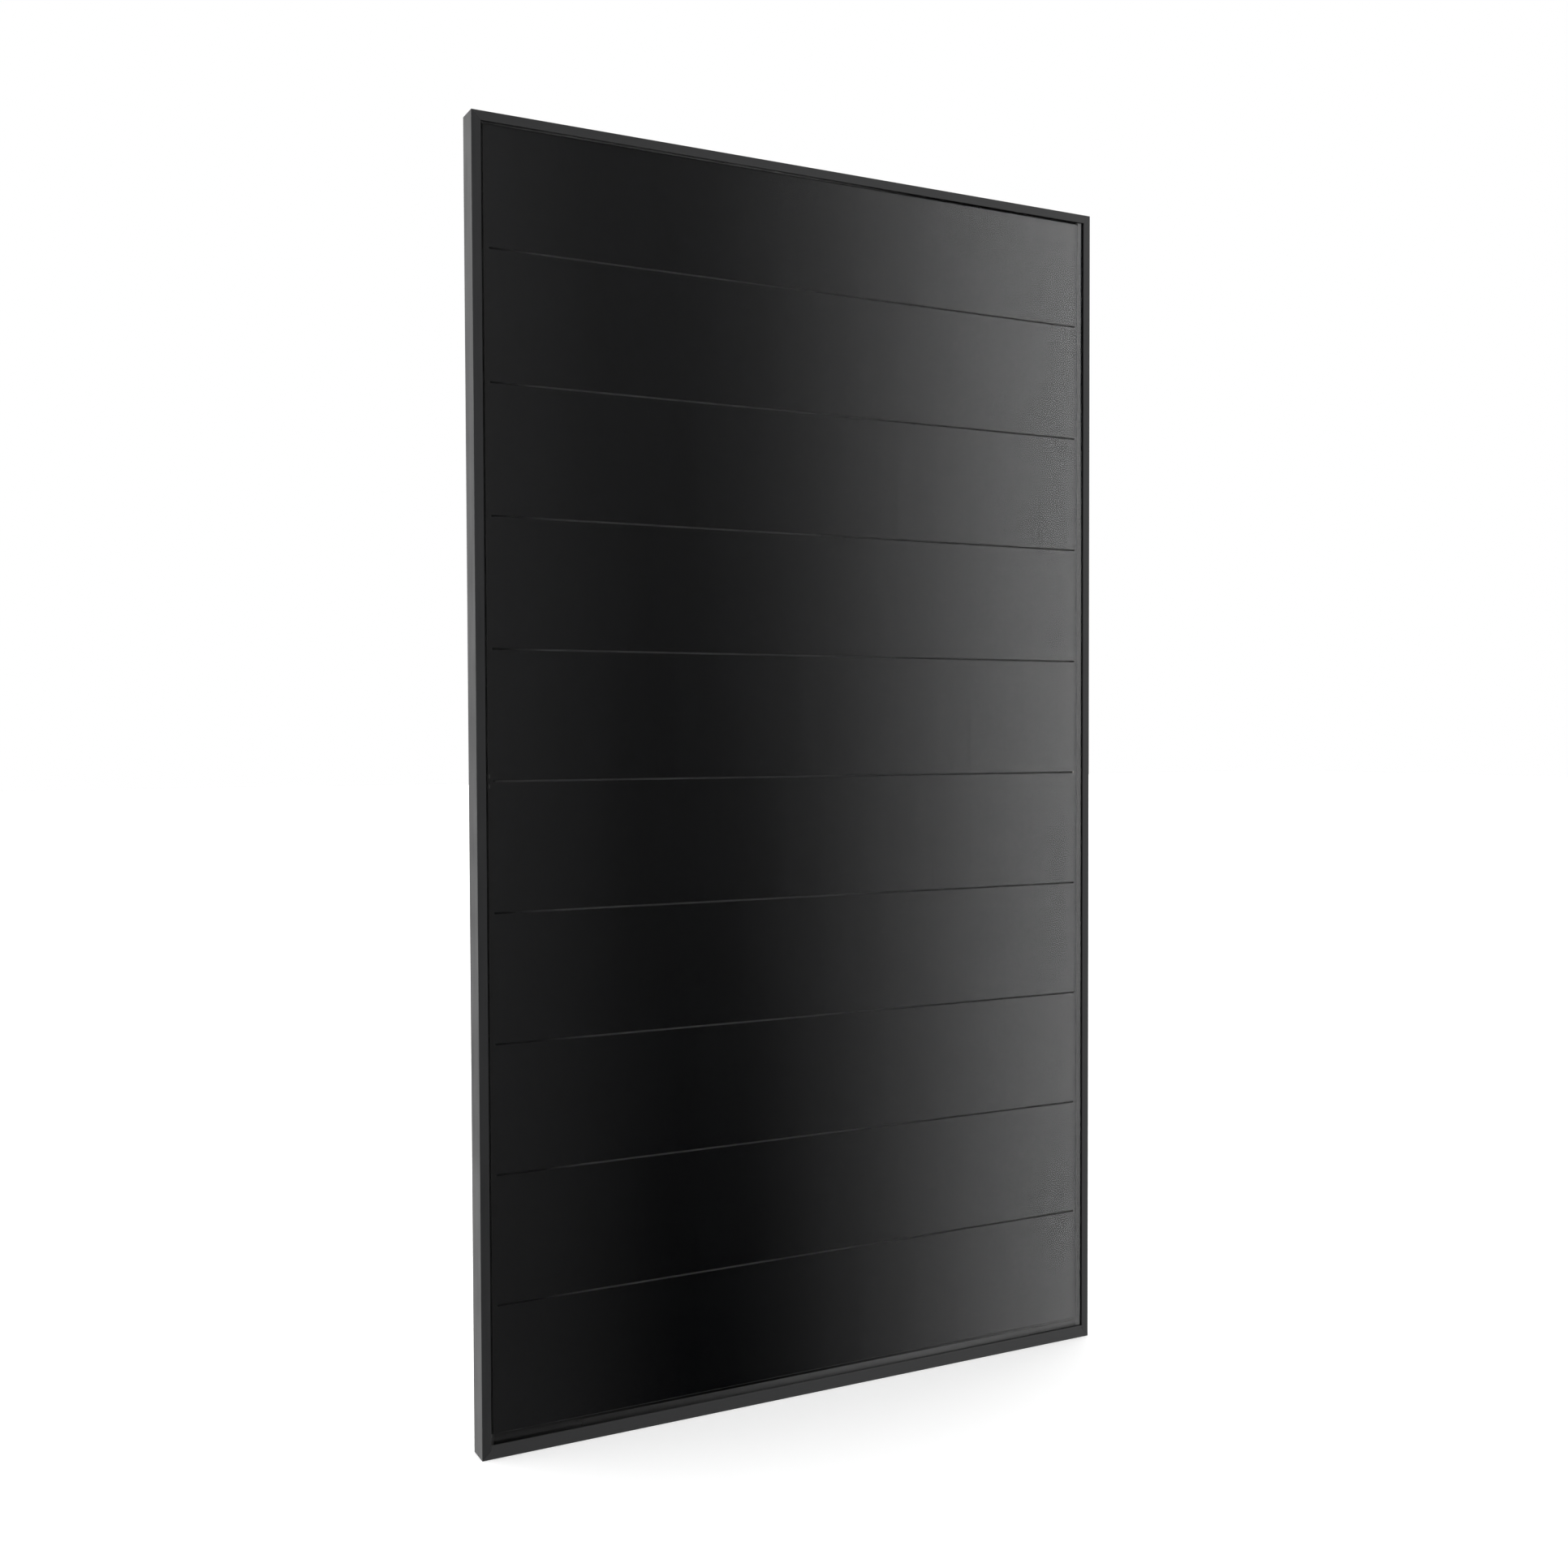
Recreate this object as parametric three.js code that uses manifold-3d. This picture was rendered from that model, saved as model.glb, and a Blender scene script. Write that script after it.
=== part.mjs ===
// A framed all-black solar panel (photovoltaic module) with shingled cells, standing on its bottom rail.
// Units are millimetres. +Z is up, -Y is the sunny side, and +X is to the right of someone facing the glass.
// The origin is at the middle of the panel's footprint, on the surface that it stands on.
//
// Depths are measured from the front face of the frame towards the back.
// Sizes are multiples of 1/32 mm, which 32-bit mesh numbers hold exactly, so touching faces share a plane.

import * as THREE from "three";
import { mergeVertices } from "three/addons/utils/BufferGeometryUtils.js";
import Module from "manifold-3d";

const wasm = await Module();
wasm.setup();

// Whole panel
const PANEL_WIDTH = 970;
const PANEL_HEIGHT = 1722;
const PANEL_DEPTH = 35;
const FRONT = -PANEL_DEPTH / 2;

// Frame rail: one extrusion with a front lip, a channel for the laminate, a hollow chamber and a rear flange
const RAIL_WALL = 1.75;
const LIP_WIDTH = 12;
const LIP_THICKNESS = 2;
const CHANNEL_HEIGHT = 6.5;
const SHELF_THICKNESS = 1.5;
const FLANGE_WIDTH = 30;
const RAIL_CHAMFER = 0.5;
const LIP_CHAMFER = 0.25;
const MITRE_GAP = 0.125;

// The bottom rail's lip is wider between the lips of the side rails
const BOTTOM_LIP_WIDTH = 18;
const LIP_LAP = 1;

// Holes in the rear flange
const SLOT_WIDTH = 9;
const SLOT_LENGTH = 14;
const SLOT_OFFSETS = [-600, -395, 395, 600];
const EARTH_HOLE_DIAMETER = 4.25;
const EARTH_HOLE_OFFSETS = [-480, 480];
const DRAIN_WIDTH = 4;
const DRAIN_LENGTH = 10;
const DRAIN_OFFSETS = [-400, 400];
const FLANGE_HOLE_INSET = 21;

// Corner key: the L-shaped block that joins two rails through their chambers
const KEY_CLEARANCE = 0.125;
const KEY_LEG = 50;
const KEY_GROOVE_PITCH = 6;
const KEY_GROOVE_DEPTH = 1;
const KEY_GROOVE_WIDTH = 2;

// Crimps: pockets pressed into a rail's inner wall, over some of the corner key's grooves
const CRIMP_GROOVES = [2, 5];
const CRIMP_DEPTH = 1;
const CRIMP_WIDTH = 2.5;
const CRIMP_HEIGHT = 12;
const CRIMP_CENTRE = 21.625;

// Laminate, from the glass back to the backsheet
const LAMINATE_INSET = 4.5;
const LAMINATE_CORNER = 2;
const SEAL_FRONT_THICKNESS = 0.5;
const SEAL_INSET = 11.25;
const BEAD_WIDTH = 2;
const BEAD_HEIGHT = 1.5;
const glass = layer(LIP_THICKNESS + SEAL_FRONT_THICKNESS, 3.25);
const frontEncapsulant = layer(glass.back, 0.5);
const cells = layer(frontEncapsulant.back, 0.5);
const rearEncapsulant = layer(cells.back, 0.75);
const backsheet = layer(rearEncapsulant.back, 0.375);

// Shingled strings: each runs across the panel, and its strips overlap like roof tiles. The gaps between them are
// evenly spaced, and the top and bottom strings are cut narrower to fit between the lips.
const STRING_COUNT = 10;
const STRING_PITCH = 169.5;
const STRING_GAP = 2.5;
const TOP_GAP_Z = 1553;
const STRIP_COUNT = 29;
const STRIP_WIDTH = 33.25;
const STRIP_OVERLAP = 1.5;
const STRIP_THICKNESS = 0.25;
const TOP_MARGIN = 13.5;
const BOTTOM_MARGIN = 30.5;
const STRIP_PITCH = STRIP_WIDTH - STRIP_OVERLAP;
const STRING_LENGTH = STRIP_PITCH * (STRIP_COUNT - 1) + STRIP_WIDTH;
const UPPER_BLOCK_STRINGS = 5;

// Ribbons: a bus ribbon down each end of the strings, and lead ribbons behind the strings to the junction box
const BUS_WIDTH = 5;
const LEAD_WIDTH = 5;
const LEAD_PITCH = 6.5;
const POCKET_CLEARANCE = 0.25;
const insulator = layer(cells.back, 0.125);
const lead = layer(insulator.back, 0.25);
const bus = { front: cells.back - 0.25, back: insulator.back };
const INSULATOR_LENGTH = 918;
const INSULATOR_WIDTH = 23;
const LEAD_SLOT_WIDTH = 3;
const LEAD_SLOT_HEIGHT = 7;

// Junction box, centred on the gap between the two blocks of strings
const BOX_WIDTH = 116;
const BOX_HEIGHT = 96;
const BOX_WALL = 2.25;
const BOX_CORNER = 6;
const BOX_Z = gapBelow(UPPER_BLOCK_STRINGS);
const adhesive = layer(backsheet.back, 1.125);
const ADHESIVE_INSET = 1;
const ADHESIVE_WIDTH = 5;
const LID_SEAL_INSET = 0.5;
const LID_SEAL_WIDTH = 1.5;
const SMALLEST_CORNER = 1;
const boxFloor = layer(adhesive.back, 2);
const boxSide = layer(boxFloor.back, 16);
const lidSeal = layer(boxSide.back, 1);
const lidPlate = layer(lidSeal.back, 2);
const lidPanel = layer(lidPlate.back, 0.75);
const LID_OVERHANG = 1;
const LID_PLUG_WALL = 1.5;
const LID_PLUG_CLEARANCE = 0.25;
const LID_PLUG_DEPTH = 3.5;
const LID_PANEL_INSET = 8;
const PRY_NOTCH = 8;

// Terminals and bypass diodes inside the junction box
const post = layer(boxFloor.back, 3);
const POST_SIZE = 6;
const terminal = layer(post.back, 1);
const TERMINAL_PITCH = 30;
const TERMINAL_WIDTH = 20;
const TERMINAL_BOTTOM = -14.5;
const TERMINAL_TOP = 19.5;
const TONGUE_WIDTH = 8;
const TONGUE_LENGTH = 10;
const LEAD_STAND_OFF = 2.25;
const LEAD_FLAP = 10.5;
const DIODE_WIDTH = 8;
const DIODE_HEIGHT = 10;
const DIODE_Z = 11.5;
const DIODE_LEG_REACH = 5;
const DIODE_LEG_THICKNESS = 0.5;
const diodeBody = { front: terminal.back - 2.5, back: terminal.back + 2.5 };

// Cable glands in the lower wall of the junction box
const GLAND_X = 30;
const GLAND_DEPTH = 18;
const GLAND_HEX = 15;
const GLAND_NUT_LENGTH = 10;
const GLAND_NECK_DIAMETER = 12;
const GLAND_NECK_LENGTH = 5;
const GLAND_BORE = 10;
const GLAND_SEAL_DIAMETER = 9.5;
const CABLE_BORE = 6.5;
const GLAND_HOLE_DIAMETER = 12.5;
const GLAND_SEAL_RECESS = 1;
const ROUND_SEGMENTS = 8;

// Rating label on the backsheet
const LABEL_WIDTH = 110;
const LABEL_HEIGHT = 70;
const LABEL_X = 250;
const LABEL_Z = 1380;
const label = layer(backsheet.back, 0.125);

const FINISHES = {
  blackAnodised: { color: 0x2b2c2e, roughness: 0.42, metalness: 0.85 },
  castAluminium: { color: 0x9a9c9e, roughness: 0.5, metalness: 0.9 },
  blackSilicone: { color: 0x0c0c0d, roughness: 0.6, metalness: 0 },
  solarGlass: { color: 0x3a4044, roughness: 0.08, metalness: 0 },
  encapsulant: { color: 0x141416, roughness: 0.5, metalness: 0 },
  silicon: { color: 0x0b0d12, roughness: 0.25, metalness: 0.1 },
  blackRibbon: { color: 0x111112, roughness: 0.45, metalness: 0.6 },
  tinnedCopper: { color: 0xb9b2a6, roughness: 0.35, metalness: 0.95 },
  blackFilm: { color: 0x101011, roughness: 0.7, metalness: 0 },
  boxPlastic: { color: 0x161617, roughness: 0.55, metalness: 0 },
  labelFilm: { color: 0xb9bbbd, roughness: 0.45, metalness: 0 },
  epoxy: { color: 0x0a0a0b, roughness: 0.35, metalness: 0 },
};

// A layer of the stack: the depths of its front and back faces
function layer(front, thickness) {
  return { front, back: front + thickness };
}

// The height of the middle of the gap below a string, counted from 1 at the top
function gapBelow(number) {
  return TOP_GAP_Z - (number - 1) * STRING_PITCH;
}

function stringTop(number) {
  return number === 1 ? PANEL_HEIGHT - TOP_MARGIN : gapBelow(number - 1) - STRING_GAP / 2;
}

function stringBottom(number) {
  return number === STRING_COUNT ? BOTTOM_MARGIN : gapBelow(number) + STRING_GAP / 2;
}

function outline(points) {
  return new THREE.Shape(points.map(([a, b]) => new THREE.Vector2(a, b)));
}

function rectangle(left, bottom, right, top) {
  return outline([
    [left, bottom],
    [right, bottom],
    [right, top],
    [left, top],
  ]);
}

function roundedRectangle(width, height, radius, centreZ) {
  const x = width / 2;
  const z = height / 2;
  const shape = new THREE.Shape();
  shape.absarc(x - radius, centreZ + z - radius, radius, 0, Math.PI / 2);
  shape.absarc(-x + radius, centreZ + z - radius, radius, Math.PI / 2, Math.PI);
  shape.absarc(-x + radius, centreZ - z + radius, radius, Math.PI, 1.5 * Math.PI);
  shape.absarc(x - radius, centreZ - z + radius, radius, 1.5 * Math.PI, 2 * Math.PI);
  return shape;
}

function circle(x, y, diameter) {
  return new THREE.Shape().absarc(x, y, diameter / 2, 0, 2 * Math.PI);
}

// A slot with round ends, long in Z
function roundSlot(x, z, width, length) {
  const straight = (length - width) / 2;
  const shape = new THREE.Shape();
  shape.absarc(x, z + straight, width / 2, 0, Math.PI);
  shape.absarc(x, z - straight, width / 2, Math.PI, 2 * Math.PI);
  return shape;
}

// A flat plate whose outline lies in X and Z, filling the depths from front to back
function plate(shape, { front, back }, curveSegments = 4) {
  const settings = { depth: back - front, bevelEnabled: false, curveSegments };
  const geometry = new THREE.ExtrudeGeometry(shape, settings);
  geometry.rotateX(Math.PI / 2);
  return geometry.translate(0, FRONT + back, 0);
}

// A bar whose section lies in X and depth, running from one height to another
function bar(section, bottom, top) {
  const geometry = new THREE.ExtrudeGeometry(section, { depth: top - bottom, bevelEnabled: false });
  return geometry.translate(0, FRONT, bottom);
}

// A rod or ring along Z, from its outline in X and depth
function turned(shape, bottom, top) {
  const settings = { depth: top - bottom, bevelEnabled: false, curveSegments: ROUND_SEGMENTS };
  return new THREE.ExtrudeGeometry(shape, settings).translate(0, FRONT, bottom);
}

function solid(geometry) {
  const bare = geometry.index ? geometry.toNonIndexed() : geometry.clone();
  bare.deleteAttribute("normal");
  bare.deleteAttribute("uv");
  const merged = mergeVertices(bare, 1e-4);
  const vertProperties = merged.getAttribute("position").array;
  const triVerts = new Uint32Array(merged.index.array);
  return new wasm.Manifold(new wasm.Mesh({ numProp: 3, vertProperties, triVerts }));
}

function surface(manifold) {
  const { vertProperties, triVerts } = manifold.getMesh();
  const geometry = new THREE.BufferGeometry();
  geometry.setAttribute("position", new THREE.BufferAttribute(vertProperties, 3));
  geometry.setIndex(new THREE.BufferAttribute(triVerts, 1));
  const faceted = geometry.toNonIndexed();
  faceted.computeVertexNormals();
  return faceted;
}

function cut(geometry, tools) {
  return surface(tools.reduce((left, tool) => left.subtract(solid(tool)), solid(geometry)));
}

function join(geometry, others) {
  return surface(others.reduce((whole, other) => whole.add(solid(other)), solid(geometry)));
}

function piece(name, geometry, finish) {
  const mesh = new THREE.Mesh(geometry, new THREE.MeshStandardMaterial(finish));
  mesh.name = name;
  return mesh;
}

// Section of a frame rail in distance from the panel's edge and depth
function railSection() {
  const shelf = layer(LIP_THICKNESS + CHANNEL_HEIGHT, SHELF_THICKNESS);
  const flangeFront = PANEL_DEPTH - RAIL_WALL;
  const section = outline([
    [RAIL_CHAMFER, 0],
    [LIP_WIDTH - LIP_CHAMFER, 0],
    [LIP_WIDTH, LIP_CHAMFER],
    [LIP_WIDTH, LIP_THICKNESS],
    [RAIL_WALL, LIP_THICKNESS],
    [RAIL_WALL, shelf.front],
    [LIP_WIDTH, shelf.front],
    [LIP_WIDTH, flangeFront],
    [FLANGE_WIDTH, flangeFront],
    [FLANGE_WIDTH, PANEL_DEPTH],
    [RAIL_CHAMFER, PANEL_DEPTH],
    [0, PANEL_DEPTH - RAIL_CHAMFER],
    [0, RAIL_CHAMFER],
  ]);
  section.holes.push(rectangle(RAIL_WALL, shelf.back, LIP_WIDTH - RAIL_WALL, flangeFront));
  return section;
}

// Section of the seal that holds the laminate's edge in the channel, with a bead behind the laminate
function sealSection() {
  const channelBack = LIP_THICKNESS + CHANNEL_HEIGHT;
  return outline([
    [RAIL_WALL, LIP_THICKNESS],
    [SEAL_INSET, LIP_THICKNESS],
    [SEAL_INSET, glass.front],
    [LAMINATE_INSET, glass.front],
    [LAMINATE_INSET, backsheet.back],
    [LIP_WIDTH + BEAD_WIDTH, backsheet.back],
    [LIP_WIDTH, backsheet.back + BEAD_HEIGHT],
    [LIP_WIDTH, channelBack],
    [RAIL_WALL, channelBack],
  ]);
}

// A bar along Z with its ends cut at 45 degrees, whose outer face is half of span to the left of the middle
function mitredBar(section, length, span) {
  const geometry = new THREE.ExtrudeGeometry(section, { depth: length, bevelEnabled: false });
  const position = geometry.getAttribute("position");
  for (let i = 0; i < position.count; i += 1) {
    const inward = position.getX(i);
    const reach = length / 2 - inward - MITRE_GAP;
    position.setZ(i, position.getZ(i) === 0 ? -reach : reach);
    position.setX(i, inward - span / 2);
    position.setY(i, FRONT + position.getY(i));
  }
  return geometry;
}

// Section of the strip that widens the bottom rail's lip
function lipStripSection(span) {
  const outer = LIP_WIDTH - LIP_LAP - span / 2;
  const inner = BOTTOM_LIP_WIDTH - span / 2;
  return outline([
    [outer, 0],
    [inner - LIP_CHAMFER, 0],
    [inner, LIP_CHAMFER],
    [inner, LIP_THICKNESS],
    [outer, LIP_THICKNESS],
  ]);
}

// Section of the strip that widens the bottom seal, under the wider lip
function sealStripSection(span) {
  const outer = SEAL_INSET - LIP_LAP - span / 2;
  const inner = BOTTOM_LIP_WIDTH - LIP_WIDTH + SEAL_INSET - span / 2;
  return rectangle(outer, LIP_THICKNESS, inner, glass.front);
}

// Joins to a side's bar a strip that ends at the lips of the neighbouring sides
function widen(geometry, stripSection, length) {
  const reach = length / 2 - LIP_WIDTH - MITRE_GAP;
  return join(geometry, [bar(stripSection, -reach, reach)]);
}

function flangeHoles(long, span) {
  const through = { front: PANEL_DEPTH - 2 * RAIL_WALL, back: PANEL_DEPTH + RAIL_WALL };
  const x = FLANGE_HOLE_INSET - span / 2;
  if (!long) {
    return DRAIN_OFFSETS.map((z) => plate(roundSlot(x, z, DRAIN_WIDTH, DRAIN_LENGTH), through));
  }
  return [
    ...SLOT_OFFSETS.map((z) => plate(roundSlot(x, z, SLOT_WIDTH, SLOT_LENGTH), through)),
    ...EARTH_HOLE_OFFSETS.map((z) => plate(circle(x, z, EARTH_HOLE_DIAMETER), through, 5)),
  ];
}

// The distance of a corner key's groove from the panel's corner, counted from 1
function grooveStart(number) {
  return LIP_WIDTH - RAIL_WALL - KEY_CLEARANCE + number * KEY_GROOVE_PITCH;
}

function keyCrimps(length, span) {
  const pocket = layer(CRIMP_CENTRE - CRIMP_HEIGHT / 2, CRIMP_HEIGHT);
  const inner = LIP_WIDTH - span / 2;
  const tools = [];
  for (const number of CRIMP_GROOVES) {
    const z = length / 2 - grooveStart(number) - (KEY_GROOVE_WIDTH + CRIMP_WIDTH) / 2;
    for (const bottom of [z, -z - CRIMP_WIDTH]) {
      const shape = rectangle(inner - CRIMP_DEPTH, bottom, inner + CRIMP_DEPTH, bottom + CRIMP_WIDTH);
      tools.push(plate(shape, pocket));
    }
  }
  return tools;
}

// One side of the frame, turned about the panel's middle: the rail and the seal in its channel
function frameSide(name, turns, long, wideLip = false) {
  const length = long ? PANEL_HEIGHT : PANEL_WIDTH;
  const span = long ? PANEL_WIDTH : PANEL_HEIGHT;
  const side = new THREE.Group();
  side.position.z = PANEL_HEIGHT / 2;
  side.rotation.y = (turns * Math.PI) / 2;
  const tools = [...flangeHoles(long, span), ...keyCrimps(length, span)];
  const plainRail = cut(mitredBar(railSection(), length, span), tools);
  const rail = wideLip ? widen(plainRail, lipStripSection(span), length) : plainRail;
  side.add(piece(`frame_rail_${name}`, rail, FINISHES.blackAnodised));
  const plainSeal = mitredBar(sealSection(), length, span);
  const seal = wideLip ? widen(plainSeal, sealStripSection(span), length) : plainSeal;
  side.add(piece(`channel_seal_${name}`, seal, FINISHES.blackSilicone));
  return side;
}

// Outline of a corner key, with grooves across the inner face of both legs
function keyOutline() {
  const outer = RAIL_WALL + KEY_CLEARANCE;
  const inner = LIP_WIDTH - RAIL_WALL - KEY_CLEARANCE;
  const leg = [];
  for (let k = 1; grooveStart(k) + KEY_GROOVE_WIDTH < KEY_LEG; k += 1) {
    const a = grooveStart(k);
    leg.push([a, inner], [a, inner - KEY_GROOVE_DEPTH]);
    leg.push([a + KEY_GROOVE_WIDTH, inner - KEY_GROOVE_DEPTH], [a + KEY_GROOVE_WIDTH, inner]);
  }
  const otherLeg = leg.map(([a, b]) => [b, a]);
  return outline([
    [outer, outer],
    [KEY_LEG, outer],
    [KEY_LEG, inner],
    ...leg.reverse(),
    [inner, inner],
    ...otherLeg,
    [inner, KEY_LEG],
    [outer, KEY_LEG],
  ]);
}

function cornerKey(name, turns, x, z) {
  const chamberFront = LIP_THICKNESS + CHANNEL_HEIGHT + SHELF_THICKNESS;
  const reach = {
    front: chamberFront + KEY_CLEARANCE,
    back: PANEL_DEPTH - RAIL_WALL - KEY_CLEARANCE,
  };
  const key = piece(`corner_key_${name}`, plate(keyOutline(), reach), FINISHES.castAluminium);
  key.position.set(x, 0, z);
  key.rotation.y = (turns * Math.PI) / 2;
  return key;
}

function frame() {
  const x = PANEL_WIDTH / 2;
  const group = new THREE.Group();
  group.add(frameSide("left", 0, true));
  group.add(frameSide("bottom", -1, false, true));
  group.add(frameSide("right", 2, true));
  group.add(frameSide("top", 1, false));
  group.add(cornerKey("bottom_left", 0, -x, 0));
  group.add(cornerKey("bottom_right", -1, x, 0));
  group.add(cornerKey("top_right", 2, x, PANEL_HEIGHT));
  group.add(cornerKey("top_left", 1, -x, PANEL_HEIGHT));
  return group;
}

// Outline shared by every full sheet of the laminate: a rectangle with clipped corners
function sheetOutline() {
  const x = PANEL_WIDTH / 2 - LAMINATE_INSET;
  const bottom = LAMINATE_INSET;
  const top = PANEL_HEIGHT - LAMINATE_INSET;
  const c = LAMINATE_CORNER;
  return outline([
    [-x + c, bottom],
    [x - c, bottom],
    [x, bottom + c],
    [x, top - c],
    [x - c, top],
    [-x + c, top],
    [-x, top - c],
    [-x, bottom + c],
  ]);
}

// Section of a shingled string: each strip's left edge lies in front of its neighbour's right edge
function stringSection() {
  const middle = cells.front + STRIP_THICKNESS;
  const start = -STRING_LENGTH / 2;
  const face = [];
  const back = [];
  for (let k = 0; k < STRIP_COUNT; k += 1) {
    const left = start + k * STRIP_PITCH;
    const last = k === STRIP_COUNT - 1;
    face.push([left, cells.front], [last ? left + STRIP_WIDTH : left + STRIP_PITCH, middle]);
    back.push([k === 0 ? left : left + STRIP_OVERLAP, middle], [left + STRIP_WIDTH, cells.back]);
  }
  return outline([...face, ...back.reverse()]);
}

function cellString(number) {
  const name = `cell_string_${String(number).padStart(2, "0")}`;
  return piece(name, bar(stringSection(), stringBottom(number), stringTop(number)), FINISHES.silicon);
}

// A bus ribbon along the ends of the strings from first to last
function busRibbon(name, side, first, last) {
  const inner = STRING_LENGTH / 2;
  const outer = inner + BUS_WIDTH;
  const shape = rectangle(
    side < 0 ? -outer : inner,
    stringBottom(last),
    side < 0 ? -inner : outer,
    stringTop(first),
  );
  return piece(`bus_ribbon_${name}`, plate(shape, bus), FINISHES.blackRibbon);
}

// The three lead ribbons: which bus each comes from, its terminal and its height above the box's middle
const LEADS = [
  { name: "positive", side: -1, slot: -1, z: LEAD_PITCH },
  { name: "middle", side: 1, slot: 0, z: 0 },
  { name: "negative", side: -1, slot: 1, z: -LEAD_PITCH },
];

// The X of the upright part of a lead ribbon, beside the terminal's edge on the side that it comes from
function leadRise({ side, slot }) {
  return slot * TERMINAL_PITCH + side * (TERMINAL_WIDTH / 2 + LEAD_STAND_OFF);
}

// A lead ribbon: along the back of the strings, straight out into the box, and folded onto its terminal
function leadRibbon(entry) {
  const { name, side, z } = entry;
  const thickness = lead.back - lead.front;
  const end = side * (STRING_LENGTH / 2 + BUS_WIDTH);
  const near = leadRise(entry);
  const far = near + side * thickness;
  const flapEnd = near - side * LEAD_FLAP;
  const foldTop = terminal.back + thickness;
  const section = outline([
    [end, lead.front],
    [near, lead.front],
    [near, terminal.back],
    [flapEnd, terminal.back],
    [flapEnd, foldTop],
    [far, foldTop],
    [far, lead.back],
    [end, lead.back],
  ]);
  const bottom = BOX_Z + z - LEAD_WIDTH / 2;
  return piece(`lead_ribbon_${name}`, bar(section, bottom, bottom + LEAD_WIDTH), FINISHES.tinnedCopper);
}

function leadSlot(entry) {
  const x = leadRise(entry);
  const z = BOX_Z + entry.z;
  return rectangle(
    x - LEAD_SLOT_WIDTH / 2,
    z - LEAD_SLOT_HEIGHT / 2,
    x + LEAD_SLOT_WIDTH / 2,
    z + LEAD_SLOT_HEIGHT / 2,
  );
}

function leadSlotTools({ front, back }) {
  return LEADS.map((entry) => plate(leadSlot(entry), { front: front - 1, back: back + 1 }));
}

function insulatorStrip() {
  const x = INSULATOR_LENGTH / 2;
  const z = INSULATOR_WIDTH / 2;
  const strip = plate(rectangle(-x, BOX_Z - z, x, BOX_Z + z), insulator);
  return piece("lead_insulator", strip, FINISHES.blackFilm);
}

// The rear encapsulant sheet, with pockets in its front face where the ribbons and the insulator lie
function rearEncapsulantSheet() {
  const c = POCKET_CLEARANCE;
  const busInner = STRING_LENGTH / 2 - c;
  const busOuter = STRING_LENGTH / 2 + BUS_WIDTH + c;
  const bottom = stringBottom(STRING_COUNT) - c;
  const top = stringTop(1) + c;
  const bandHalf = INSULATOR_WIDTH / 2 + c;
  const busPocket = { front: rearEncapsulant.front - 1, back: bus.back + POCKET_CLEARANCE / 2 };
  const leadPocket = { front: rearEncapsulant.front - 1, back: lead.back + POCKET_CLEARANCE / 2 };
  const tools = [
    plate(rectangle(-busOuter, bottom, -busInner, top), busPocket),
    plate(rectangle(busInner, bottom, busOuter, top), busPocket),
    plate(rectangle(-busOuter, BOX_Z - bandHalf, busOuter, BOX_Z + bandHalf), leadPocket),
    ...leadSlotTools(rearEncapsulant),
  ];
  const sheet = cut(plate(sheetOutline(), rearEncapsulant), tools);
  return piece("rear_encapsulant", sheet, FINISHES.encapsulant);
}

function laminate() {
  const group = new THREE.Group();
  const rearSheet = cut(plate(sheetOutline(), backsheet), leadSlotTools(backsheet));
  group.add(piece("front_glass", plate(sheetOutline(), glass), FINISHES.solarGlass));
  group.add(piece("front_encapsulant", plate(sheetOutline(), frontEncapsulant), FINISHES.encapsulant));
  for (let number = 1; number <= STRING_COUNT; number += 1) {
    group.add(cellString(number));
  }
  group.add(busRibbon("left_upper", -1, 1, UPPER_BLOCK_STRINGS));
  group.add(busRibbon("left_lower", -1, UPPER_BLOCK_STRINGS + 1, STRING_COUNT));
  group.add(busRibbon("right", 1, 1, STRING_COUNT));
  group.add(insulatorStrip());
  LEADS.forEach((entry) => group.add(leadRibbon(entry)));
  group.add(rearEncapsulantSheet());
  group.add(piece("backsheet", rearSheet, FINISHES.blackFilm));
  return group;
}

function ratingLabel() {
  const mesh = piece(
    "rating_label",
    plate(rectangle(-LABEL_WIDTH / 2, -LABEL_HEIGHT / 2, LABEL_WIDTH / 2, LABEL_HEIGHT / 2), label),
    FINISHES.labelFilm,
  );
  mesh.position.set(LABEL_X, 0, LABEL_Z);
  return mesh;
}

// A ring with rounded corners round the box's middle
function boxRing(width, height, radius, wall, depths) {
  const shape = roundedRectangle(width, height, radius, BOX_Z);
  const inner = Math.max(radius - wall, SMALLEST_CORNER);
  shape.holes.push(roundedRectangle(width - 2 * wall, height - 2 * wall, inner, BOX_Z));
  return plate(shape, depths);
}

// A ring whose outer edge lies a little inside the box's outline
function insetRing(inset, wall, depths) {
  return boxRing(BOX_WIDTH - 2 * inset, BOX_HEIGHT - 2 * inset, BOX_CORNER - inset, wall, depths);
}

function postBlocks() {
  const half = POST_SIZE / 2;
  const rooted = { front: boxFloor.back - 0.5, back: post.back };
  const heights = [BOX_Z + TERMINAL_BOTTOM + half, BOX_Z + TERMINAL_TOP - half];
  return LEADS.flatMap(({ slot }) =>
    heights.map((z) => {
      const x = slot * TERMINAL_PITCH;
      return plate(rectangle(x - half, z - half, x + half, z + half), rooted);
    }),
  );
}

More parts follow.
